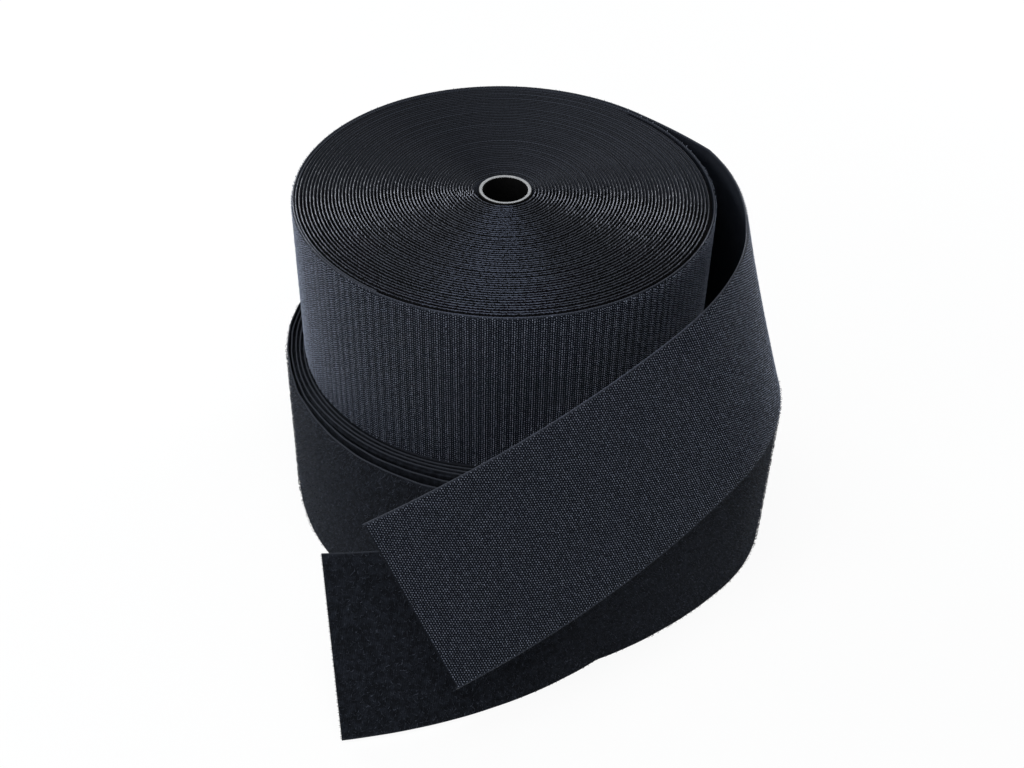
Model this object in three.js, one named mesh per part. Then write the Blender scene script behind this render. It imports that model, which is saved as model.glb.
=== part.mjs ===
// Two rolls of fastening tape stacked on end: hook tape standing on loop tape, each wound on a
// plastic core, with a loose outer turn and a free end that runs clockwise to the front.
// Millimetres, +Z up.
import * as THREE from 'three';

// Sizes that both rolls share
const tapeWidth = 100;
const coreDiameter = 29;
const coreWall = 2;
const coreChamfer = 0.5;
const windingTurns = 21;
const turnGap = 0.5;
const clearance = 0.3;
const tailClearance = 1.5;

// Hook tape: the upper roll and its free end, in stretches of length and degrees
const hookThickness = 1.8;
const hookWindingDiameter = 224.5;
const hookLeavesAt = 47;
const hookLead = { length: 60, bend: 17, twist: -2 };
const hookShoulder = { length: 90, bend: 30, twist: 15 };
const hookCorner = { length: 80, bend: 55, twist: 11 };
const hookPanel = { length: 180, bend: 22, twist: 20 };

// Loop tape: the lower roll, its slack outer turn and its free end
const loopThickness = 2.2;
const loopWindingDiameter = 246;
const loopLeavesAt = 53;
const slackDepth = 9;
const slackMiddle = 140;
const slackSpan = 70;
const loopLead = { length: 140, bend: 37, twist: 0 };
const loopCorner = { length: 100, bend: 59, twist: 0 };
const loopRun = { length: 95, bend: 21, twist: 0 };
const loopPanel = { length: 144, bend: 29, twist: 36 };

// Fineness of the faceted solids
const windingSteps = 24;
const outerTurnSteps = 48;
const coreSegments = 48;
const tailStep = 10;
const acrossSamples = 80;
const rounding = 1e-6;

const up = new THREE.Vector3(0, 0, 1);
const radians = THREE.MathUtils.degToRad;

const hookTape = new THREE.MeshStandardMaterial({ color: 0x26292f, roughness: 0.55, metalness: 0 });
const loopTape = new THREE.MeshStandardMaterial({ color: 0x131417, roughness: 0.95, metalness: 0 });
const corePlastic = new THREE.MeshStandardMaterial({ color: 0xd9dadb, roughness: 0.4, metalness: 0 });

// A frame is a point on the tape's middle line with its thickness and its three directions:
// along the tape (clockwise round the roll), across its width (up) and out of its outer face.
function frameOnRoll(radius, degrees, thickness) {
  const angle = radians(degrees);
  const out = new THREE.Vector3(Math.cos(angle), Math.sin(angle), 0);
  const along = new THREE.Vector3().crossVectors(out, up);
  const point = out.clone().multiplyScalar(radius).setZ(tapeWidth / 2);
  return { point, along, across: up.clone(), out, thickness };
}

// Moves a frame on by one short step: bend rolls it round the roll's side, twist leans its
// upper edge inwards, and rise turns it upwards in its own plane.
function stepped(frame, length, bend, twist, rise) {
  const turn = new THREE.Vector3()
    .addScaledVector(frame.across, -bend)
    .addScaledVector(frame.along, twist)
    .addScaledVector(frame.out, -rise);
  const angle = turn.length();
  const axis = turn.normalize();
  const halfway = frame.along.clone().applyAxisAngle(axis, angle / 2);
  return {
    ...frame,
    point: frame.point.clone().addScaledVector(halfway, length),
    along: frame.along.clone().applyAxisAngle(axis, angle),
    across: frame.across.clone().applyAxisAngle(axis, angle),
    out: frame.out.clone().applyAxisAngle(axis, angle),
  };
}

// The frames of a free stretch of tape that starts from a given frame.
function stretchFrom(start, { length, bend, twist, rise = 0 }) {
  const steps = Math.max(2, Math.round(length / tailStep));
  const turns = [bend, twist, rise].map((degrees) => radians(degrees) / steps);
  const frames = [start];
  for (let i = 0; i < steps; i += 1) {
    frames.push(stepped(frames.at(-1), length / steps, ...turns));
  }
  return frames;
}

function stretchesFrom(start, stretches) {
  const frames = [start];
  for (const stretch of stretches) {
    frames.push(...stretchFrom(frames.at(-1), stretch).slice(1));
  }
  return frames;
}

// Opens the gap of one clearance between a piece of tape and the next one along.
function setOn(frame) {
  return { ...frame, point: frame.point.clone().addScaledVector(frame.along, clearance) };
}

// A closed strip of rectangular section, tapeWidth across and as thick as its frames say.
function ribbon(frames) {
  const corners = [[-1, -1], [1, -1], [1, 1], [-1, 1]];
  const positions = [];
  for (const { point, across, out, thickness } of frames) {
    for (const [side, edge] of corners) {
      const corner = point.clone()
        .addScaledVector(out, (side * thickness) / 2)
        .addScaledVector(across, (edge * tapeWidth) / 2);
      positions.push(...corner.toArray());
    }
  }
  const index = [0, 2, 1, 0, 3, 2];
  for (let ring = 0; ring < frames.length - 1; ring += 1) {
    for (let side = 0; side < 4; side += 1) {
      const a = ring * 4 + side;
      const b = ring * 4 + ((side + 1) % 4);
      index.push(a, b, b + 4, a, b + 4, a + 4);
    }
  }
  const last = (frames.length - 1) * 4;
  index.push(last, last + 1, last + 2, last, last + 2, last + 3);
  const geometry = new THREE.BufferGeometry();
  geometry.setAttribute('position', new THREE.Float32BufferAttribute(positions, 3));
  geometry.setIndex(index);
  geometry.computeVertexNormals();
  return geometry;
}

// The core: a plain tube with chamfered rims, as long as the tape is wide.
function coreGeometry() {
  const outer = coreDiameter / 2;
  const inner = outer - coreWall;
  const profile = [
    [inner, coreChamfer],
    [inner + coreChamfer, 0],
    [outer - coreChamfer, 0],
    [outer, coreChamfer],
    [outer, tapeWidth - coreChamfer],
    [outer - coreChamfer, tapeWidth],
    [inner + coreChamfer, tapeWidth],
    [inner, tapeWidth - coreChamfer],
    [inner, coreChamfer],
  ].map(([radius, height]) => new THREE.Vector2(radius, height));
  return new THREE.LatheGeometry(profile, coreSegments).rotateX(Math.PI / 2);
}

// The wound tape: one spiral strip from the core outwards. Each modelled turn stands for two or
// three real ones, so it is as thick as the pitch leaves room for. Round the rim it thins to
// the tape's own thickness, which keeps the roll round.
function windingFrames(windingDiameter, tapeThickness, leavesAt) {
  const insideRadius = (coreDiameter / 2 + clearance) / Math.cos(Math.PI / windingSteps);
  const rimRadius = windingDiameter / 2;
  const pitch = (rimRadius - tapeThickness - insideRadius) / windingTurns;
  const frames = [];
  for (let step = 0; step <= windingTurns * windingSteps; step += 1) {
    const turn = step / windingSteps;
    const inner = insideRadius + pitch * turn;
    const outer = Math.min(inner + pitch - turnGap, rimRadius);
    const degrees = leavesAt + 360 * (windingTurns - turn);
    frames.push(frameOnRoll((inner + outer) / 2, degrees, outer - inner));
  }
  return frames;
}

// The least gap between one turn's outer face and the next turn's inner face, point to side.
function leastGap(frames) {
  const face = (frame, side) => frame.point.clone().addScaledVector(frame.out, (side * frame.thickness) / 2);
  let least = Infinity;
  for (let step = 0; step + windingSteps + 1 < frames.length; step += 1) {
    const next = step + windingSteps;
    const side = new THREE.Line3(face(frames[next], -1), face(frames[next + 1], -1));
    for (const share of [0, 0.25, 0.5, 0.75, 1]) {
      const point = face(frames[step], 1).lerp(face(frames[step + 1], 1), share);
      const nearest = side.closestPointToPoint(point, true, new THREE.Vector3());
      least = Math.min(least, point.distanceTo(nearest));
    }
  }
  return least;
}

// The outer turn lies loosely outside the winding, so that the winding can turn inside it,
// and climbs over its own start. Slack lifts it off the winding round one side.
function outerTurnFrames(windingDiameter, thickness, leavesAt, slack) {
  const flat = Math.cos(Math.PI / outerTurnSteps);
  const startRadius = (windingDiameter / 2 + clearance) / flat + thickness / 2;
  const climb = thickness + turnGap;
  const frames = [];
  for (let step = 0; step <= outerTurnSteps; step += 1) {
    const turned = (360 * step) / outerTurnSteps;
    const fromSlack = Math.min(Math.abs(turned - slackMiddle) / slackSpan, 1);
    const lift = (slack * (1 + Math.cos(Math.PI * fromSlack))) / 2;
    const radius = startRadius + (climb * turned) / 360 + lift;
    frames.push(frameOnRoll(radius, leavesAt - turned, thickness));
  }
  return frames;
}

// The smallest value between low and high at which test passes; high if it never does.
function leastPassing(low, high, test) {
  if (test(low)) return low;
  let fails = low;
  let passes = high;
  for (let i = 0; i < 40; i += 1) {
    const middle = (fails + passes) / 2;
    if (test(middle)) {
      passes = middle;
    } else {
      fails = middle;
    }
  }
  return passes;
}

// Whether the hook tape's free end keeps clear of the loop tape's: each point across it lies
// over the loop tape's upper edge or past its outer face. The upper roll stands higher by lift.
function keepsClear(hookFrames, loopFrames, lift) {
  const past = (hookThickness + loopThickness) / 2 + tailClearance;
  const sharesAcross = Array.from({ length: acrossSamples + 1 }, (_, i) => i / acrossSamples - 0.5);
  return hookFrames.every((hook) => sharesAcross.every((share) => {
    const point = hook.point.clone().addScaledVector(hook.across, share * tapeWidth);
    point.z += lift;
    return loopFrames.every((loop) => {
      const offset = point.clone().sub(loop.point);
      const outwards = offset.dot(loop.out);
      const beside = Math.abs(offset.dot(loop.along)) < tailStep / 2 && outwards > -tapeWidth;
      const halfLeaning = (Math.abs(hook.out.dot(loop.across)) * hookThickness) / 2;
      const over = tapeWidth / 2 + clearance + halfLeaning - rounding;
      return !beside || outwards >= past || offset.dot(loop.across) >= over;
    });
  }));
}

function named(name, geometry, material) {
  const mesh = new THREE.Mesh(geometry, material.clone());
  mesh.name = name;
  return mesh;
}

// Lower roll: the outer turn runs on through the lead and the corner, and the free end is the
// panel that stands across the front, turned upwards just enough to stay on the floor.
const loopWinding = windingFrames(loopWindingDiameter, loopThickness, loopLeavesAt);
const loopOuterTurn = outerTurnFrames(loopWindingDiameter, loopThickness, loopLeavesAt, slackDepth);
const loopLeadOut = stretchesFrom(loopOuterTurn.at(-1), [loopLead, loopCorner]);
const loopEndWith = (rise) => stretchesFrom(setOn(loopLeadOut.at(-1)), [loopRun, { ...loopPanel, rise }]);
const lowest = ({ point, across, out, thickness }) => (
  point.z - (across.z * tapeWidth + Math.abs(out.z) * thickness) / 2
);
const onFloor = (frames) => frames.every((frame) => lowest(frame) >= -rounding);
const loopEnd = loopEndWith(leastPassing(-5, 20, (rise) => onFloor(loopEndWith(rise))));

// Upper roll: its free end rises just enough to pass over the loop tape's free end.
const hookHeight = tapeWidth + clearance;
const hookWinding = windingFrames(hookWindingDiameter, hookThickness, hookLeavesAt);
const hookOuterTurn = outerTurnFrames(hookWindingDiameter, hookThickness, hookLeavesAt, 0);
const hookEndWith = (rise) => stretchesFrom(
  setOn(hookOuterTurn.at(-1)),
  [{ ...hookLead, rise }, hookShoulder, hookCorner, hookPanel],
);
const loopPath = [...loopLeadOut, ...loopEnd];
const passesOver = (rise) => keepsClear(hookEndWith(rise), loopPath, hookHeight);
const hookEnd = hookEndWith(leastPassing(0, 30, passesOver));

console.log(`hook_winding least gap to itself ${leastGap(hookWinding).toFixed(2)} mm`);
console.log(`loop_winding least gap to itself ${leastGap(loopWinding).toFixed(2)} mm`);

const loopRoll = new THREE.Group();
loopRoll.add(
  named('loop_core', coreGeometry(), corePlastic),
  named('loop_winding', ribbon(loopWinding), loopTape),
  named('loop_outer_turn', ribbon([...loopOuterTurn, ...loopLeadOut.slice(1)]), loopTape),
  named('loop_free_end', ribbon(loopEnd), loopTape),
);

const hookRoll = new THREE.Group();
hookRoll.position.z = hookHeight;
hookRoll.add(
  named('hook_core', coreGeometry(), corePlastic),
  named('hook_winding', ribbon(hookWinding), hookTape),
  named('hook_outer_turn', ribbon(hookOuterTurn), hookTape),
  named('hook_free_end', ribbon(hookEnd), hookTape),
);

// The model stands on the floor with its box centred over the origin.
const part = new THREE.Group();
part.add(loopRoll, hookRoll);
const box = new THREE.Box3().setFromObject(part);
const middle = box.getCenter(new THREE.Vector3());
part.position.set(-middle.x, -middle.y, -box.min.z);

export default part;
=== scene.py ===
import math

import bpy
import numpy as np
from mathutils import Matrix, Vector


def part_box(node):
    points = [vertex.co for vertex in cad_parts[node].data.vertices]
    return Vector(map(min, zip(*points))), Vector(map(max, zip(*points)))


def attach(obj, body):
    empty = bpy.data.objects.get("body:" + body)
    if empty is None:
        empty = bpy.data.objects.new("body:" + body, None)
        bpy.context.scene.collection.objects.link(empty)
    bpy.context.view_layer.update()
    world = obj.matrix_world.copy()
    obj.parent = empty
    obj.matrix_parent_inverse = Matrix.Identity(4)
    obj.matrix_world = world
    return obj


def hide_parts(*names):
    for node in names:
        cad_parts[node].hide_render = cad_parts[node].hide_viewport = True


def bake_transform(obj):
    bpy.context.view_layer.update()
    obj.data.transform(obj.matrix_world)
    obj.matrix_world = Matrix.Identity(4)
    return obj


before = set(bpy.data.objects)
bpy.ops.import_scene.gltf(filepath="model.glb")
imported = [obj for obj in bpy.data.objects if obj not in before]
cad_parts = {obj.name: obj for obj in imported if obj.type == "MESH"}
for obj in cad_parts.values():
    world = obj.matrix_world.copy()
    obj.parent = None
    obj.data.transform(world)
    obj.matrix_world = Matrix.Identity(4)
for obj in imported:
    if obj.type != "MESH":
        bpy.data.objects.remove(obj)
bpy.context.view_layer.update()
bpy.ops.object.select_all(action="DESELECT")
print("frame loaded")

# camera, at the photograph's angle
view = dict(place=(-0.00983, -0.60684, 0.61588), pitch=40.356, roll=1.336,
            lens=49.516, sensor=36, nearest=0.01)


def addCamera():
    pitch, roll = math.radians(view["pitch"]), math.radians(view["roll"])
    ahead = np.array([0, math.cos(pitch), -math.sin(pitch)])
    level = np.array([1.0, 0, 0])
    upright = np.cross(level, ahead)
    right = math.cos(roll) * level + math.sin(roll) * upright
    above = math.cos(roll) * upright - math.sin(roll) * level
    turn = Matrix(np.array([right, above, -ahead]).T.tolist()).to_euler()
    bpy.ops.object.camera_add(location=view["place"], rotation=turn)
    camera = bpy.context.object
    camera.data.lens = view["lens"]
    camera.data.sensor_width = view["sensor"]
    camera.data.clip_start = view["nearest"]
    bpy.context.scene.camera = camera


addCamera()
print("camera set")


# shader maths: a Wire is an output socket, and sums of Wires add Math nodes
class Wire:
    def __init__(self, finish, socket):
        self.finish = finish
        self.socket = socket

    def maths(self, operation, *values):
        return self.finish.node("ShaderNodeMath", {"operation": operation}, dict(enumerate(values)))

    def __add__(self, other):
        return self.maths("ADD", self, other)

    def __rsub__(self, other):
        return self.maths("SUBTRACT", other, self)

    def __mul__(self, other):
        return self.maths("MULTIPLY", self, other)

    __radd__ = __add__
    __rmul__ = __mul__

    def waves(self, length):
        return self.maths("SINE", self * (2 * math.pi / length)) * 0.5 + 0.5

    def above(self, low, high):
        limits = {"Value": self, "From Min": low, "From Max": high}
        return self.finish.node("ShaderNodeMapRange", {"interpolation_type": "SMOOTHSTEP"}, limits)

    def size(self):
        return self.maths("ABSOLUTE", self)

    def output(self, name):
        return Wire(self.finish, self.socket.node.outputs[name])


class Shading:
    def __init__(self, tree):
        self.tree = tree

    def node(self, kind, settings=None, sockets=None, output=0):
        made = self.tree.nodes.new(kind)
        for key, value in (settings or {}).items():
            setattr(made, key, value)
        for key, value in (sockets or {}).items():
            if isinstance(value, Wire):
                self.tree.links.new(value.socket, made.inputs[key])
            else:
                made.inputs[key].default_value = value
        return None if output is None else Wire(self, made.outputs[output])


class Finish(Shading):
    def __init__(self, name, fixed):
        self.material = bpy.data.materials.new(name)
        self.material.use_nodes = True
        super().__init__(self.material.node_tree)
        self.shader = self.tree.nodes["Principled BSDF"]
        for socket, value in fixed.items():
            self.shader.inputs[socket].default_value = value

    def feed(self, **wires):
        names = {"colour": "Base Color", "roughness": "Roughness", "normal": "Normal"}
        for key, wire in wires.items():
            self.tree.links.new(wire.socket, self.shader.inputs[names[key]])

    def mixed(self, share, low, high):
        return self.node("ShaderNodeMix", {"data_type": "RGBA"}, {0: share, 6: low, 7: high}, 2)

    def tapePlace(self):
        place = self.node("ShaderNodeUVMap", {"uv_map": "tape"})
        parts = self.node("ShaderNodeSeparateXYZ", None, {0: place})
        return parts.output("X"), parts.output("Y")

    def cloud(self, scale, detail):
        place = self.node("ShaderNodeTexCoord").output("Object")
        return self.node("ShaderNodeTexNoise", None, {"Vector": place, "Scale": scale, "Detail": detail})

    def raised(self, height, depth, strength):
        sockets = {"Height": height, "Distance": depth, "Strength": strength}
        return self.node("ShaderNodeBump", None, sockets)


def grey(value, blue):
    return (value, value * (1 + 0.28 * blue), value * (1 + blue), 1)


# woven ground of the hook tape, paler along its selvedges; lengths are in metres
hookCloth = dict(
    dark=grey(0.003, 1.0), pale=grey(0.017, 0.9), selvedge=grey(0.04, 0.5), selvedgeAt=(0.0484, 0.0494),
    weft=0.00085, warp=0.0007, stubs=0.0017, cloud=(160, 3), depth=0.0002, strength=0.7,
    fixed={"Specular IOR Level": 0.06, "Sheen Weight": 0.03, "Sheen Roughness": 0.35,
           "Sheen Tint": (0.62, 0.72, 0.95, 1)},
)


def hookClothFinish():
    made = Finish("hook cloth", hookCloth["fixed"])
    along, across = made.tapePlace()
    crowns = along.waves(hookCloth["weft"]) * across.waves(hookCloth["warp"])
    edge = across.size().above(*hookCloth["selvedgeAt"])
    stubs = along.waves(hookCloth["stubs"])
    mottle = made.cloud(*hookCloth["cloud"])
    ground = made.mixed(crowns * (0.4 + mottle), hookCloth["dark"], hookCloth["pale"])
    made.feed(
        colour=made.mixed(edge * (0.35 + 0.65 * stubs), ground, hookCloth["selvedge"]),
        roughness=0.42 + 0.25 * mottle,
        normal=made.raised(crowns + edge * stubs * 2, hookCloth["depth"], hookCloth["strength"]),
    )
    return made.material


# woven ground of the loop tape, fuzzy and with a paler rim
loopCloth = dict(
    dark=grey(0.002, 0.6), pale=grey(0.024, 0.65), rim=grey(0.036, 0.4), rimAt=(0.0489, 0.0498),
    weft=0.0009, warp=0.0008, fuzz=(1400, 4), patches=(330, 3), patchesAt=(0.35, 0.7),
    depth=0.0003, strength=0.7,
    fixed={"Specular IOR Level": 0.06, "Sheen Weight": 0.03, "Sheen Roughness": 0.4,
           "Sheen Tint": (0.65, 0.75, 0.95, 1)},
)


def loopClothFinish():
    made = Finish("loop cloth", loopCloth["fixed"])
    along, across = made.tapePlace()
    crowns = along.waves(loopCloth["weft"]) * across.waves(loopCloth["warp"])
    rim = across.size().above(*loopCloth["rimAt"])
    fuzz = made.cloud(*loopCloth["fuzz"])
    patches = made.cloud(*loopCloth["patches"]).above(*loopCloth["patchesAt"])
    ground = made.mixed(fuzz * (0.3 + 0.7 * patches), loopCloth["dark"], loopCloth["pale"])
    made.feed(
        colour=made.mixed(rim * (0.4 + fuzz), ground, loopCloth["rim"]),
        roughness=0.75 + 0.2 * fuzz,
        normal=made.raised(crowns + fuzz * 1.5, loopCloth["depth"], loopCloth["strength"]),
    )
    return made.material


# plain weaves: the hook bed deep between the turns, its near-black a painted shade for the grooves; and
# the tape's back, seen from inside the roll, paler than the tape itself, a painted light
# the hook bed's dark and pale are both near-black: painted shade in the grooves between the turns
hookBed = dict(weft=0.0016, warp=0.0016, dark=grey(0.002, 0.4), pale=grey(0.007, 0.4), rough=0.6,
               depth=0.0004, strength=0.8, fixed={"Specular IOR Level": 0.08})
# the back's dark and pale are well above the tape's own colour: painted light on the inner faces in the
# grooves
hookBack = dict(weft=0.0017, warp=0.0011, dark=grey(0.03, 0.5), pale=grey(0.07, 0.5), rough=0.55,
                depth=0.0002, strength=0.6, fixed={"Specular IOR Level": 0.1})


def weaveFinish(name, spec):
    made = Finish(name, spec["fixed"])
    along, across = made.tapePlace()
    weave = along.waves(spec["weft"]) * across.waves(spec["warp"])
    made.feed(
        colour=made.mixed(weave, spec["dark"], spec["pale"]),
        roughness=spec["rough"] + 0.2 * weave,
        normal=made.raised(weave, spec["depth"], spec["strength"]),
    )
    return made.material


# yarns that differ in shade: stiff hooks, weft turns along the edges, and brushed loops; the hooks' pale
# shades are painted glints, far paler than their dark nylon
# the hooks' dark and pale are both far above the tape's near-black, and the paler hooks stand in for
# glints: painted highlights over a real spread of shade
hookYarn = dict(dark=grey(0.08, 0.6), pale=grey(0.4, 0.45), cloud=(900, 1), shades=(0.2, 0.8),
                rough=(0.25, 0.2), fixed={"Specular IOR Level": 0.45})
hookEdge = dict(dark=grey(0.026, 0.28), pale=grey(0.057, 0.28), cloud=(700, 1), shades=None,
                rough=(0.3, 0.1), fixed={"Specular IOR Level": 0.3, "Specular Tint": (0.52, 0.64, 1, 1)})
loopPile = dict(dark=grey(0.012, 0.65), pale=grey(0.105, 0.5), cloud=(600, 3), shades=(0.4, 0.75),
                rough=(0.5, 0.3), fixed={"Specular IOR Level": 0.1, "Sheen Weight": 0.04,
                                         "Sheen Tint": (0.65, 0.75, 0.95, 1)})


def yarnFinish(name, spec):
    made = Finish(name, spec["fixed"])
    mottle = made.cloud(*spec["cloud"])
    if spec["shades"]:
        mottle = mottle.above(*spec["shades"])
    smoothest, spread = spec["rough"]
    made.feed(
        # for the hooks this mix paints glints as well as their spread of shade
        colour=made.mixed(mottle, spec["dark"], spec["pale"]),
        roughness=smoothest + spread * mottle,
    )
    return made.material


# moulded core: pale rim; the bore and the outer wall are painted near-black, a painted shade
corePlastic = dict(
    pale=(0.44, 0.45, 0.46, 1), worn=(0.25, 0.26, 0.27, 1), dark=(0.0015, 0.0015, 0.0016, 1),
    rimFrom=(0.00002, 0.0001), rimTo=(0.0005, 0.0002), scuffs=(420, 4), depth=0.0001, strength=0.3,
    fixed={"Specular IOR Level": 0.15},
)


def coreFinish(centre, inside, outside):
    made = Finish("core plastic", corePlastic["fixed"])
    place = made.node("ShaderNodeTexCoord").output("Object")
    level = made.node("ShaderNodeVectorMath", {"operation": "MULTIPLY"}, {0: place, 1: (1, 1, 0)})
    axis = (centre[0], centre[1], 0)
    apart = made.node("ShaderNodeVectorMath", {"operation": "DISTANCE"}, {0: level, 1: axis}, "Value")
    pastBore = apart.above(*(inside + step for step in corePlastic["rimFrom"]))
    pastRim = apart.above(*(outside - step for step in corePlastic["rimTo"]))
    scuffs = made.cloud(*corePlastic["scuffs"])
    shade = made.mixed(scuffs, corePlastic["worn"], corePlastic["pale"])
    made.feed(
        # off the rim, on the bore and the outer wall, the colour is painted shade
        colour=made.mixed(pastBore * (1 - pastRim), corePlastic["dark"], shade),
        roughness=0.35 + 0.25 * scuffs,
        normal=made.raised(scuffs, corePlastic["depth"], corePlastic["strength"]),
    )
    return made.material


hookClothMat, loopClothMat = hookClothFinish(), loopClothFinish()
hookBedMat, hookBackMat = weaveFinish("hook bed", hookBed), weaveFinish("hook back", hookBack)
hookYarnMat, hookEdgeMat = yarnFinish("hook yarn", hookYarn), yarnFinish("hook edge", hookEdge)
loopPileMat = yarnFinish("loop pile", loopPile)
print("finishes made")

# both tapes' width, and the angle past which an edge of theirs stays crisp
tapeWidth = 0.1
crispAngle = 50


# a path is an array of frames along the tape: point, along, across and out of its outer face
def rollPath(centre, radius, degrees):
    angle = np.radians(degrees)
    out = np.stack([np.cos(angle), np.sin(angle), 0 * angle], 1)
    across = np.tile([0.0, 0, 1], (len(angle), 1))
    along = np.cross(out, across)
    return np.stack([centre + out * np.asarray(radius)[:, None], along, across, out], 1)


def turned(vector, axis, angle):
    swept = vector * math.cos(angle) + np.cross(axis, vector) * math.sin(angle)
    return swept + axis * (axis @ vector) * (1 - math.cos(angle))


# carries the tape on: bend rolls it round, twist leans its upper edge in, rise turns it up
def carriedOn(path, length, bend=0.0, twist=0.0, rise=0.0, step=0.003):
    steps = max(2, round(length / step))
    bend, twist, rise = np.radians([bend, twist, rise]) / steps
    frames = [path[-1]]
    for _ in range(steps):
        point, along, across, out = frames[-1]
        turn = twist * along - bend * across - rise * out
        angle = np.linalg.norm(turn)
        axis = turn / max(angle, 1e-12)
        ahead = point + turned(along, axis, angle / 2) * (length / steps)
        frames.append(np.array([ahead] + [turned(v, axis, angle) for v in (along, across, out)]))
    return np.concatenate([path, frames[1:]])


def runAlong(path):
    steps = np.linalg.norm(np.diff(path[:, 0], axis=0), axis=1)
    return np.concatenate([[0], np.cumsum(steps)])


def framesAt(path, run, places):
    flat = path.reshape(len(path), 12)
    found = np.stack([np.interp(places, run, flat[:, i]) for i in range(12)], 1).reshape(-1, 4, 3)
    found[:, 1:] /= np.linalg.norm(found[:, 1:], axis=2, keepdims=True)
    return found


# 1 where off is 0, falling smoothly to 0 where it is 1 or more
def hump(off):
    return 0.5 + 0.5 * np.cos(math.pi * np.clip(off, 0, 1))


# mesh from arrays, with the tape's own map: metres along and across
def newPiece(name, points, faces, finish, uv, flatFaces=0):
    mesh = bpy.data.meshes.new(name)
    corners = np.concatenate([np.ravel(f) for f in faces]).astype(np.int32)
    counts = np.concatenate([np.full(len(f), f.shape[1]) for f in faces])
    starts = np.concatenate([[0], np.cumsum(counts)[:-1]]).astype(np.int32)
    mesh.vertices.add(len(points))
    mesh.vertices.foreach_set("co", np.ascontiguousarray(points, np.float32).ravel())
    mesh.loops.add(len(corners))
    mesh.loops.foreach_set("vertex_index", corners)
    mesh.polygons.add(len(counts))
    mesh.polygons.foreach_set("loop_start", starts)
    mesh.polygons.foreach_set("use_smooth", np.arange(len(counts)) < len(counts) - flatFaces)
    layer = mesh.uv_layers.new(name="tape")
    layer.uv.foreach_set("vector", uv[corners].astype(np.float32).ravel())
    mesh.update(calc_edges=True)
    mesh.validate()
    mesh.materials.append(finish)
    made = bpy.data.objects.new(name, mesh)
    bpy.context.scene.collection.objects.link(made)
    return made


def smoothed(piece, degrees):
    bpy.ops.object.select_all(action="DESELECT")
    piece.select_set(True)
    bpy.context.view_layer.objects.active = piece
    bpy.ops.object.shade_smooth_by_angle(angle=math.radians(degrees))
    piece.select_set(False)


# section of a tape as (out, across) pairs: rounded selvedges, faces cut into strips
def tapeSection(spec):
    inside, outside, halfWidth = -spec["half"], spec["clothTop"], spec["halfWidth"]
    thick = outside - inside
    rows = np.linspace(-1, 1, spec["strips"] + 1) * (halfWidth - 0.35 * thick)
    middle = (inside + outside) / 2
    rim = [(outside - 0.12 * thick, halfWidth - 0.1 * thick), (middle, halfWidth)]
    rim.append((inside + 0.12 * thick, halfWidth - 0.1 * thick))
    foot = [(o, -a) for o, a in reversed(rim)]
    return np.array([(outside, a) for a in rows] + rim + [(inside, a) for a in rows[::-1]] + foot)


# section of a wound turn: the cloth, with the band of hooks or loops set in from its edges
def woundSection(spec):
    cloth, halfWidth, bandHalf = spec["cloth"], spec["halfWidth"], spec["halfWidth"] - spec["margin"]
    rounding = ((1, 0.35), (0.85, 0.1), (0.5, 0), (0.15, 0.1), (0, 0.35))
    rim = [(cloth * depth, halfWidth - cloth * drop) for depth, drop in rounding]
    top = [(spec["band"], bandHalf - spec["bandSlope"]), (cloth, bandHalf)] + rim
    return np.array(top + [(o, -a) for o, a in reversed(top)])


# sweeps a section along a path; ripple moves its points out
def tapeStrip(name, path, section, finish, ripple=None):
    run = runAlong(path)
    rings, sides = len(path), len(section)
    out = np.tile(section[:, 0], (rings, 1))
    across = np.tile(section[:, 1], (rings, 1))
    if ripple is not None:
        out = out + ripple(run[:, None], across)
    points = path[:, None, 0] + out[..., None] * path[:, None, 3] + across[..., None] * path[:, None, 2]
    ring = np.arange(rings - 1)[:, None] * sides
    side = np.arange(sides)
    after = (side + 1) % sides
    quads = np.stack([ring + side, ring + after, ring + sides + after, ring + sides + side], 2)
    caps = np.stack([side[::-1], (rings - 1) * sides + side])
    uv = np.stack([np.repeat(run, sides), across.ravel()], 1)
    return newPiece(name, points.reshape(-1, 3), [quads.reshape(-1, 4), caps], finish, uv)


# a short bent yarn: a three-sided tube along a spine of (lean, height) points
roundYarn = [(math.cos(angle), math.sin(angle)) for angle in np.radians([90, 210, 330])]


def yarnShape(spine, radii, section=roundYarn):
    spine = np.asarray(spine)
    ahead = np.gradient(spine, axis=0)
    ahead /= np.linalg.norm(ahead, axis=1, keepdims=True)
    points = []
    for (lean, height), (dx, dz), radius in zip(spine, ahead, radii):
        for aside, rise in np.array(section) * radius:
            points.append((lean - dz * rise, aside, height + dx * rise))
    rings = np.arange(len(spine) - 1)[:, None] * 3
    side = np.arange(3)
    after = (side + 1) % 3
    quads = np.stack([rings + side, rings + after, rings + 3 + after, rings + 3 + side], 2).reshape(-1, 4)
    last = (len(spine) - 1) * 3
    caps = np.array([[2, 1, 0], [last, last + 1, last + 2]])
    return np.array(points), quads, caps


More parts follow.
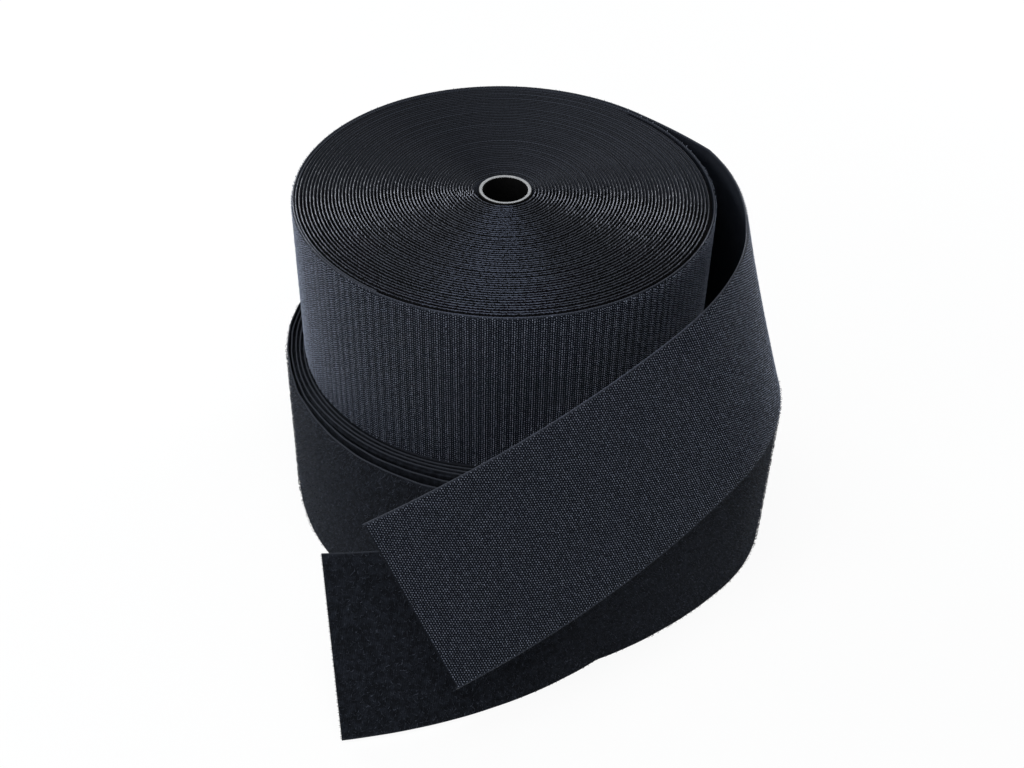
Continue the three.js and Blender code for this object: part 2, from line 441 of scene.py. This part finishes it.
# plants copies of a yarn at places (along, across) on a strip's face, or standing on its edge
def plantedYarns(name, path, places, shape, finish, root, lean, scale, ripple=None, edge=0, crisp=False):
    points, quads, caps = shape
    frames = framesAt(path, runAlong(path), places[:, 0])
    lift = root + (0 if ripple is None else ripple(places[:, 0], places[:, 1]))
    roots = frames[:, 0] + frames[:, 2] * places[:, 1:] + frames[:, 3] * np.reshape(lift, (-1, 1))
    up, beside = (frames[:, 2] * edge, frames[:, 3]) if edge else (frames[:, 3], frames[:, 2])
    ahead = np.cos(lean)[:, None] * frames[:, 1] * (edge or 1) + np.sin(lean)[:, None] * beside
    aside = np.cross(up, ahead)
    local = points[None] * scale[:, None, None]
    grown = roots[:, None] + local[..., :1] * ahead[:, None] + local[..., 1:2] * aside[:, None]
    grown = grown + local[..., 2:] * up[:, None]
    shift = (np.arange(len(places)) * len(points))[:, None, None]
    faces = [(quads + shift).reshape(-1, 4), (caps + shift).reshape(-1, 3)]
    uv = np.repeat(places, len(points), axis=0)
    flatFaces = len(faces[1]) + crisp * len(faces[0])
    return newPiece(name, grown.reshape(-1, 3), faces, finish, uv, flatFaces)


# shares columns out among a few pieces, lettered from A
def lettered(name, columns, pieces):
    return [(name + "ABCD"[i], part) for i, part in enumerate(np.array_split(columns, pieces))]


# each lettered piece has draws of its own, seeded by where its columns begin
def drawsFor(seed, columns):
    return np.random.default_rng([seed, round(columns[0] * 10000)])


# columns of hooks across the tape, every other one set on by half a step, high and low by turns
hook = dict(
    pitch=0.0012, rowPitch=0.00145, margin=0.001, bareStart=0.0005, bareEnd=0.0009, height=0.0007,
    lean=1.45, leanJitter=0.3, alongJitter=0.00008, acrossJitter=0.0001, sizes=(0.84, 1.1), seed=11,
    wound=dict(columnSizes=(1.25, 1.05, 0.74, 1.0), stagger=0.5),
    loose=dict(columnSizes=(1.06, 1.0, 0.96, 1.0), stagger=0.08),
)
hookBend = yarnShape(
    np.array([(-0.1, -0.15), (0.15, 0.85), (0.85, 0.72)]) * hook["height"],
    np.array([0.27, 0.27, 0.2]) * hook["height"],
)


def hookField(name, path, columns, root, columnSizes, stagger):
    rng = drawsFor(hook["seed"], columns)
    width = tapeWidth - 2 * hook["margin"]
    rows = round(width / hook["rowPitch"])
    count = len(columns) * rows
    order = np.round(columns / hook["pitch"]).astype(int)
    along = np.repeat(columns, rows) + rng.uniform(-1, 1, count) * hook["alongJitter"]
    begun = 0.25 + order % 2 / 2 + rng.uniform(-1, 1, len(columns)) * stagger
    steps = np.tile(np.arange(rows), len(columns)) + np.repeat(begun, rows)
    across = (steps / rows - 0.5) * width + rng.uniform(-1, 1, count) * hook["acrossJitter"]
    lean = hook["lean"] + rng.uniform(-hook["leanJitter"], hook["leanJitter"], count)
    columnSize = np.array(columnSizes)[order % len(columnSizes)]
    scale = rng.uniform(*hook["sizes"], count) * np.repeat(columnSize, rows)
    places = np.stack([along, across], 1)
    return plantedYarns(name, path, places, hookBend, hookYarnMat, root, lean, scale)


# turns of the weft over a tape's edge: short bars with a wide facet that looks up and outwards
weftTurn = dict(pitch=0.0021, reach=0.00102, radius=0.0004, sunk=0.00002, alongJitter=0.1, lean=0.13,
                sizes=(0.85, 1.05), facets=[(-0.2, 0.47), (-0.5, -0.5), (0.95, -0.43)], seed=31)
weftBar = yarnShape(
    [(-weftTurn["reach"], 0), (weftTurn["reach"], 0)],
    np.array([1, 1]) * weftTurn["radius"],
    weftTurn["facets"],
)


def edgeTurns(name, path, root, halfWidth, edge):
    rng = np.random.default_rng(weftTurn["seed"])
    along = np.arange(weftTurn["pitch"], runAlong(path)[-1], weftTurn["pitch"])
    count, stray = len(along), weftTurn["alongJitter"]
    along = along + rng.uniform(-stray, stray, count) * weftTurn["pitch"]
    places = np.stack([along, np.full(count, edge * (halfWidth - weftTurn["sunk"]))], 1)
    lean = rng.uniform(-1, 1, count) * weftTurn["lean"]
    scale = rng.uniform(*weftTurn["sizes"], count)
    return plantedYarns(name, path, places, weftBar, hookEdgeMat, root, lean, scale, edge=edge, crisp=True)


# brushed loops, strewn unevenly
pile = dict(pitch=0.0022, margin=0.0014, bareEnd=0.0005, height=0.00125, thick=0.1,
            sizes=(0.6, 1.0), seed=23)
loopBend = yarnShape(
    np.array([(-0.75, -0.15), (-0.55, 0.75), (0.45, 0.95), (0.8, -0.15)]) * pile["height"],
    np.full(4, pile["thick"]) * pile["height"],
)


def loopField(name, path, columns, root, ripple):
    rng = drawsFor(pile["seed"], columns)
    reach = tapeWidth / 2 - pile["margin"]
    rows = np.arange(-reach, reach, pile["pitch"])
    count = len(columns) * len(rows)
    along = np.repeat(columns, len(rows)) + rng.uniform(-0.5, 0.5, count) * pile["pitch"]
    across = np.tile(rows, len(columns)) + rng.uniform(-0.5, 0.5, count) * pile["pitch"]
    along = np.clip(along, pile["bareEnd"], runAlong(path)[-1] - pile["bareEnd"])
    places = np.stack([along, np.clip(across, -reach, reach)], 1)
    lean = rng.uniform(0, 2 * math.pi, count)
    scale = rng.uniform(*pile["sizes"], count)
    return plantedYarns(name, path, places, loopBend, loopPileMat, root, lean, scale, ripple)


# depth of the middle of a tape's cloth
def clothMiddle(spec):
    return (spec["clothTop"] - spec["half"]) / 2


# cut ends of the warp at a free end
thread = dict(count=140, length=0.0007, reach=0.0492, acrossJitter=0.0003, depth=0.6, lean=0.3,
              sizes=(0.6, 1.2), seed=5)
threadStub = yarnShape(
    np.array([(-1, 0), (0.6, 0.05), (1, -0.1)]) * thread["length"],
    np.array([0.2, 0.2, 0.12]) * thread["length"],
)


def cutEnds(name, path, spec, finish, ripple=None):
    rng = np.random.default_rng(thread["seed"])
    count, stray, depth = thread["count"], thread["acrossJitter"], thread["depth"]
    across = np.linspace(-thread["reach"], thread["reach"], count) + rng.uniform(-stray, stray, count)
    places = np.stack([np.full(count, runAlong(path)[-1]), across], 1)
    lift = clothMiddle(spec) + rng.uniform(-depth, depth, count) * (spec["half"] / 2)
    lean = rng.uniform(-thread["lean"], thread["lean"], count)
    scale = rng.uniform(*thread["sizes"], count)
    return plantedYarns(name, path, places, threadStub, finish, lift, lean, scale, ripple)


def wornBy(piece, body, slot, *nodes):
    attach(piece, body)
    dressed(piece, slot, *nodes)


def bentBetween(piece, fixed, free, start, end, slot, *nodes):
    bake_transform(piece)
    dressed(piece, slot, *nodes)


def dressed(piece, slot, *nodes):
    if nodes:
        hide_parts(*nodes)


# cores
coreTube = dict(segments=96, wall=0.002, bevel=0.0006, bevelSegments=3, bevelAngle=50, crispAngle=35)


def coreTubePiece(name, node, body):
    low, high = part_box(node)
    centre = (low + high) / 2
    radius = (high.x - low.x) / 2
    bpy.ops.object.select_all(action="DESELECT")
    bpy.ops.mesh.primitive_cylinder_add(
        vertices=coreTube["segments"], radius=radius, depth=high.z - low.z,
        end_fill_type="NOTHING", location=centre)
    tube = bpy.context.object
    tube.name = tube.data.name = name
    bpy.ops.object.transform_apply(location=True, rotation=True, scale=True)
    bpy.ops.object.modifier_add(type="SOLIDIFY")
    tube.modifiers[-1].thickness = coreTube["wall"]
    tube.modifiers[-1].offset = -1
    bpy.ops.object.modifier_apply(modifier=tube.modifiers[-1].name)
    bpy.ops.object.modifier_add(type="BEVEL")
    tube.modifiers[-1].width = coreTube["bevel"]
    tube.modifiers[-1].segments = coreTube["bevelSegments"]
    tube.modifiers[-1].angle_limit = math.radians(coreTube["bevelAngle"])
    bpy.ops.object.modifier_apply(modifier=tube.modifiers[-1].name)
    smoothed(tube, coreTube["crispAngle"])
    tube.data.materials.clear()
    tube.data.materials.append(coreFinish(centre, radius - coreTube["wall"], radius))
    wornBy(tube, body, "core_plastic", node)


coreTubePiece("hookCore", "hook_core", "hook_roll")
coreTubePiece("loopCore", "loop_core", "loop_roll")
print("cores made")

# where the rolls stand
hookLow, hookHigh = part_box("hook_core")
loopLow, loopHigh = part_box("loop_core")
hookCentre = np.array((hookLow + hookHigh) / 2)
loopCentre = np.array((loopLow + loopHigh) / 2)

# hook tape: wound turns, outer turn and free end; angles are in degrees
hookTape = dict(
    leavesAt=47, halfWidth=0.0498, half=0.0009, clothTop=0.00005, strips=8,
    firstRadius=0.0149, lastRadius=0.111, turns=51.41, ringsPerTurn=90, roundTurns=9, roundOver=0.3,
    cloth=0.00078, band=0.0016, bandGap=0.00003, bandSlope=0.0002, margin=0.0034,
    outerStart=0.11369, outerClimb=0.0023, degreesPerRing=1.5, tuck=190, tuckedHooks=0.01,
    lead=dict(length=0.06, bend=17, twist=-2, rise=5.2012),
    shoulder=dict(length=0.09, bend=30, twist=15),
    corner=dict(length=0.08, bend=54, twist=11, rise=-4.4),
    panel=dict(length=0.182, bend=22, twist=18, rise=6),
    blendLength=0.06,
)
# the first turn's step over its own start leaves a small wedge beside the core
wedge = dict(depth=0.0031, at=180, before=24, after=68, turns=15)
# the edges of wound turns stand a little uneven
uneven = dict(height=0.00012, short=0.031, middle=0.0473, long=0.19)


def wedgeLift(degrees, turn):
    off = (degrees - wedge["at"] + 180) % 360 - 180
    share = np.where(off > 0, off / wedge["before"], -off / wedge["after"])
    return wedge["depth"] * hump(share) * np.clip(1 - turn / wedge["turns"], 0, 1)


# a spiral whose last few turns step out all at once, and are round for the rest of the way
def woundPath(centre, spec, lift):
    turn = np.arange(0, spec["turns"], 1 / spec["ringsPerTurn"])
    degrees = spec["leavesAt"] + 360 * (spec["turns"] - turn)
    lap, share = np.divmod(turn - spec["turns"] % 1, 1)
    stepped = np.clip(share / spec["roundOver"], 0, 1)
    stepped = stepped * stepped * (3 - 2 * stepped) - share
    rounding = np.clip(1 - (math.floor(spec["turns"]) - 1 - lap) / spec["roundTurns"], 0, 1)
    grown = (turn + stepped * rounding) / spec["turns"]
    radius = spec["firstRadius"] + (spec["lastRadius"] - spec["firstRadius"]) * grown
    radius = radius + lift(degrees, turn)
    path = rollPath(centre, radius, degrees)
    short, middle, long = (runAlong(path) / uneven[key] for key in ("short", "middle", "long"))
    path[:, 0, 2] += uneven["height"] * (np.sin(short) + np.sin(middle + 1) * np.sin(long))
    return path, roomOutside(spec, radius)


# space from each turn to the next, and from the last to the outer turn
def roomOutside(spec, radius):
    lap = spec["ringsPerTurn"]
    toNext = radius[lap:] - radius[:-lap] - spec["bandGap"]
    return np.concatenate([toNext, spec["lastRadius"] + spec["band"] - radius[-lap:]])


# the band of hooks or loops fills that space, and the inner face may have a finish of its own
def woundStrip(name, path, room, spec, finish, back):
    def filled(run, across):
        inBand = np.abs(across) < spec["halfWidth"] - spec["margin"]
        return (room[:, None] - spec["band"]) * inBand

    section = woundSection(spec)
    made = tapeStrip(name, path, section, finish, filled)
    made.data.materials.append(back)
    inside = section[:, 0] == 0
    slots = np.tile(inside & np.roll(inside, -1), len(path) - 1)
    made.data.polygons.foreach_set("material_index", np.append(slots, [0, 0]).astype(np.int32))
    return made


# the last turn, with its start tucked under its end
def outerPath(centre, spec, slack):
    rings = round((360 + spec["tuck"]) / spec["degreesPerRing"]) + 1
    turnedBy = np.linspace(-spec["tuck"], 360, rings)
    radius = spec["outerStart"] + spec["outerClimb"] * np.clip(turnedBy, 0, 360) / 360 + slack(turnedBy)
    return rollPath(centre, radius, spec["leavesAt"] - turnedBy)


hookWoundPath, hookRoom = woundPath(hookCentre, hookTape, wedgeLift)
# the winding's outer faces take the near-black hook bed, a painted shade, and its inner faces the paler
# back, a painted light
hookWound = woundStrip("hookWinding", hookWoundPath, hookRoom, hookTape, hookBedMat, hookBackMat)
smoothed(hookWound, crispAngle)
wornBy(hookWound, "hook_roll", "hook_tape", "hook_winding")
woundTurns = edgeTurns("hookWindingEdge", hookWoundPath, hookTape["cloth"] / 2, hookTape["halfWidth"], 1)
wornBy(woundTurns, "hook_roll", "hook_tape")

hookOuter = outerPath(hookCentre, hookTape, lambda turnedBy: 0 * turnedBy)
hookOuterTurn = tapeStrip("hookOuterTurn", hookOuter, tapeSection(hookTape), hookClothMat)
smoothed(hookOuterTurn, crispAngle)
wornBy(hookOuterTurn, "hook_outer_turn", "hook_tape", "hook_outer_turn")
hookShown = np.radians(hookTape["tuck"]) * hookTape["outerStart"] - hookTape["tuckedHooks"]
hookOuterColumns = np.arange(hookShown, runAlong(hookOuter)[-1], hook["pitch"])
for name, columns in lettered("hookOuterHooks", hookOuterColumns, 4):
    field = hookField(name, hookOuter, columns, hookTape["clothTop"], **hook["wound"])
    wornBy(field, "hook_outer_turn", "hook_tape")
for name, edge in (("hookOuterTopEdge", 1), ("hookOuterFootEdge", -1)):
    turns = edgeTurns(name, hookOuter, clothMiddle(hookTape), hookTape["halfWidth"], edge)
    wornBy(turns, "hook_outer_turn", "hook_tape")

hookEnd = hookOuter[-1:]
for part in ("lead", "shoulder", "corner", "panel"):
    hookEnd = carriedOn(hookEnd, **hookTape[part])
hookEndRun = runAlong(hookEnd)
hookFreeEnd = tapeStrip("hookFreeEnd", hookEnd, tapeSection(hookTape), hookClothMat)
smoothed(hookFreeEnd, crispAngle)
hookEndColumns = np.arange(hook["bareStart"], hookEndRun[-1] - hook["bareEnd"], hook["pitch"])
hookTrim = []
for name, columns in lettered("hookFreeEndHooks", hookEndColumns, 2):
    hookTrim.append(hookField(name, hookEnd, columns, hookTape["clothTop"], **hook["loose"]))
hookTrim.append(cutEnds("hookFreeEndThreads", hookEnd, hookTape, hookClothMat))
for name, edge in (("hookFreeEndTopEdge", 1), ("hookFreeEndFootEdge", -1)):
    hookTrim.append(edgeTurns(name, hookEnd, clothMiddle(hookTape), hookTape["halfWidth"], edge))
hookBlendEnd = framesAt(hookEnd, hookEndRun, np.array([hookTape["blendLength"]]))[0, 0]
hookJoin = ("hook_outer_turn", "hook_free_end", hookEnd[0, 0], hookBlendEnd, "hook_tape")
bentBetween(hookFreeEnd, *hookJoin, "hook_free_end")
for piece in hookTrim:
    bentBetween(piece, *hookJoin)
print("hook tape made")

# loop tape: wound turns, slack outer turn with its lead, and free end
loopTape = dict(
    leavesAt=53, halfWidth=0.0498, half=0.0011, clothTop=-0.0002, strips=12,
    firstRadius=0.0149, lastRadius=0.1208, turns=45.2, ringsPerTurn=90, roundTurns=9, roundOver=0.5,
    cloth=0.0009, band=0.0019, bandGap=0.00003, bandSlope=0.0002, margin=0.002,
    outerStart=0.12466, outerClimb=0.0027, slackDepth=0.009, slackMiddle=145, slackSpan=78,
    degreesPerRing=1.5, tuck=285, tuckIn=0.0004, tuckOver=60, tuckSlack=0.45,
    flare=0.0028, flareAt=192, flareSpan=60,
    lead=dict(length=0.14, bend=37),
    corner=dict(length=0.1, bend=59),
    run=dict(length=0.095, bend=21),
    panel=dict(length=0.144, bend=29, twist=36, rise=0.1696),
    blendLength=0.05, curl=0.0042, curlSpan=0.045,
)
# small kinks along the tape's edges, and waves in the winding's last turns
kink = dict(height=0.00022, short=0.0042, middle=0.0091, long=0.017, share=0.35)
looseTurns = dict(count=4, height=0.0003, waves=(9, 2.3))


# the kinks, and a foot that spreads where the slack turn stands free
def loopRipple(run, across):
    turnedBy = np.degrees(run / loopTape["outerStart"]) - loopTape["tuck"]
    spread = hump(np.abs(turnedBy - loopTape["flareAt"]) / loopTape["flareSpan"])
    flare = loopTape["flare"] * spread * (0.5 - across / tapeWidth)
    edge = np.sign(across) * (across / (tapeWidth / 2)) ** 2
    short, middle, long = (run / kink[key] for key in ("short", "middle", "long"))
    wave = np.sin(short) * np.sin(long + 0.6) + 0.7 * np.sin(middle + 1.3)
    return flare + kink["height"] * wave * (kink["share"] + (1 - kink["share"]) * edge)


def loopSlack(turnedBy):
    apart = np.abs(turnedBy % 360 - loopTape["slackMiddle"]) / loopTape["slackSpan"]
    slack = loopTape["slackDepth"] * hump(apart)
    drawnIn = loopTape["tuckIn"] * np.clip(-turnedBy / loopTape["tuckOver"], 0, 1)
    return np.where(turnedBy < 0, loopTape["tuckSlack"] * slack - drawnIn, slack)


def looseRim(degrees, turn):
    outer = np.clip((turn - loopTape["turns"]) / looseTurns["count"] + 1, 0, 1)
    first, second = (np.sin(np.radians(degrees * waves)) for waves in looseTurns["waves"])
    return looseTurns["height"] * outer * first * second


loopWoundPath, loopRoom = woundPath(loopCentre, loopTape, looseRim)
loopWound = woundStrip("loopWinding", loopWoundPath, loopRoom, loopTape, loopClothMat, loopClothMat)
smoothed(loopWound, crispAngle)
wornBy(loopWound, "loop_roll", "loop_tape", "loop_winding")

loopOuter = outerPath(loopCentre, loopTape, loopSlack)
for part in ("lead", "corner"):
    loopOuter = carriedOn(loopOuter, **loopTape[part])
loopOuterTurn = tapeStrip("loopOuterTurn", loopOuter, tapeSection(loopTape), loopClothMat, loopRipple)
smoothed(loopOuterTurn, crispAngle)
wornBy(loopOuterTurn, "loop_outer_turn", "loop_tape", "loop_outer_turn")
loopRun = runAlong(loopOuter)[-1]
loopShown = np.radians(loopTape["tuck"]) * loopTape["outerStart"]
for name, columns in lettered("loopOuterPile", np.arange(loopShown, loopRun, pile["pitch"]), 3):
    field = loopField(name, loopOuter, columns, loopTape["clothTop"], loopRipple)
    wornBy(field, "loop_outer_turn", "loop_tape")

loopEnd = loopOuter[-1:]
for part in ("run", "panel"):
    loopEnd = carriedOn(loopEnd, **loopTape[part])
loopEndRun = runAlong(loopEnd)


# the free end's top corner curls forward
def endRipple(run, across):
    near = np.clip(1 - (loopEndRun[-1] - run) / loopTape["curlSpan"], 0, 1)
    curl = loopTape["curl"] * near * near * np.clip(0.5 + across / tapeWidth, 0, 1)
    return loopRipple(run + loopRun, across) + curl


loopFreeEnd = tapeStrip("loopFreeEnd", loopEnd, tapeSection(loopTape), loopClothMat, endRipple)
smoothed(loopFreeEnd, crispAngle)
loopEndColumns = np.arange(pile["bareEnd"], loopEndRun[-1], pile["pitch"])
loopEndPile = loopField("loopFreeEndPile", loopEnd, loopEndColumns, loopTape["clothTop"], endRipple)
loopThreads = cutEnds("loopFreeEndThreads", loopEnd, loopTape, loopClothMat, endRipple)
loopBlendEnd = framesAt(loopEnd, loopEndRun, np.array([loopTape["blendLength"]]))[0, 0]
loopJoin = ("loop_outer_turn", "loop_free_end", loopEnd[0, 0], loopBlendEnd, "loop_tape")
bentBetween(loopFreeEnd, *loopJoin, "loop_free_end")
for piece in (loopEndPile, loopThreads):
    bentBetween(piece, *loopJoin)
print("loop tape made")

# white floor that keeps a pale shadow, and soft light
stage = dict(floorSize=8, floorDrop=0.0004, floorColour=(0.9, 0.92, 0.93, 1), whiteShare=0.92,
             glossShare=0.25, skyColour=(0.94, 0.97, 1, 1), skyStrength=0.2, white=(1, 1, 1, 1),
             lampsAim=(0, 0, 0.1))
lamps = dict(
    backLeft=dict(place=(-1.1, 1.0, 0.62), size=0.6, power=11),
    backRight=dict(place=(1.1, 1.02, 0.6), size=0.55, power=10),
    overhead=dict(place=(-0.1, -0.5, 1.55), size=1.1, power=13.5),
    left=dict(place=(-1.3, 0.1, 0.6), size=0.5, power=2),
    front=dict(place=(-1.15, -0.95, 1.0), size=0.6, power=8),
)


# how far a ray sees plain white, straight or in gloss
def whiteSeen(made):
    seen = made.node("ShaderNodeLightPath")
    straight = seen.output("Is Camera Ray") + seen.output("Is Transmission Ray")
    return straight + seen.output("Is Glossy Ray") * stage["glossShare"]


def addFloor():
    bpy.ops.object.select_all(action="DESELECT")
    bpy.ops.mesh.primitive_plane_add(size=stage["floorSize"], location=(0, 0, -stage["floorDrop"]))
    floor = bpy.context.object
    floor.name = "floor"
    bpy.ops.object.transform_apply(location=True)
    made = Finish("floor", {"Base Color": stage["floorColour"], "Roughness": 0.9, "Specular IOR Level": 0})
    glow = made.node("ShaderNodeEmission", None, {"Color": stage["white"], "Strength": 1.0})
    share = whiteSeen(made) * stage["whiteShare"]
    matt = Wire(made, made.shader.outputs[0])
    mixed = made.node("ShaderNodeMixShader", None, {0: share, 1: matt, 2: glow})
    made.tree.links.new(mixed.socket, made.tree.nodes["Material Output"].inputs["Surface"])
    floor.data.materials.append(made.material)


def addSky():
    world = bpy.context.scene.world or bpy.data.worlds.new("sky")
    bpy.context.scene.world = world
    world.use_nodes = True
    made = Shading(world.node_tree)
    made.tree.nodes.clear()
    colour, strength = stage["skyColour"], stage["skyStrength"]
    soft = made.node("ShaderNodeBackground", None, {"Color": colour, "Strength": strength})
    white = made.node("ShaderNodeBackground", None, {"Color": stage["white"], "Strength": 1.0})
    mixed = made.node("ShaderNodeMixShader", None, {0: whiteSeen(made), 1: soft, 2: white})
    made.node("ShaderNodeOutputWorld", None, {"Surface": mixed}, None)


def addLamp(name, place, size, power):
    away = Vector(place) - Vector(stage["lampsAim"])
    bpy.ops.object.light_add(type="AREA", location=place, rotation=away.to_track_quat("Z", "Y").to_euler())
    lamp = bpy.context.object
    lamp.name = name
    lamp.data.shape = "SQUARE"
    lamp.data.size = size
    lamp.data.energy = power


addFloor()
addSky()
for name, spec in lamps.items():
    addLamp(name, **spec)
bpy.context.scene.view_settings.view_transform = "Standard"
print("stage lit")
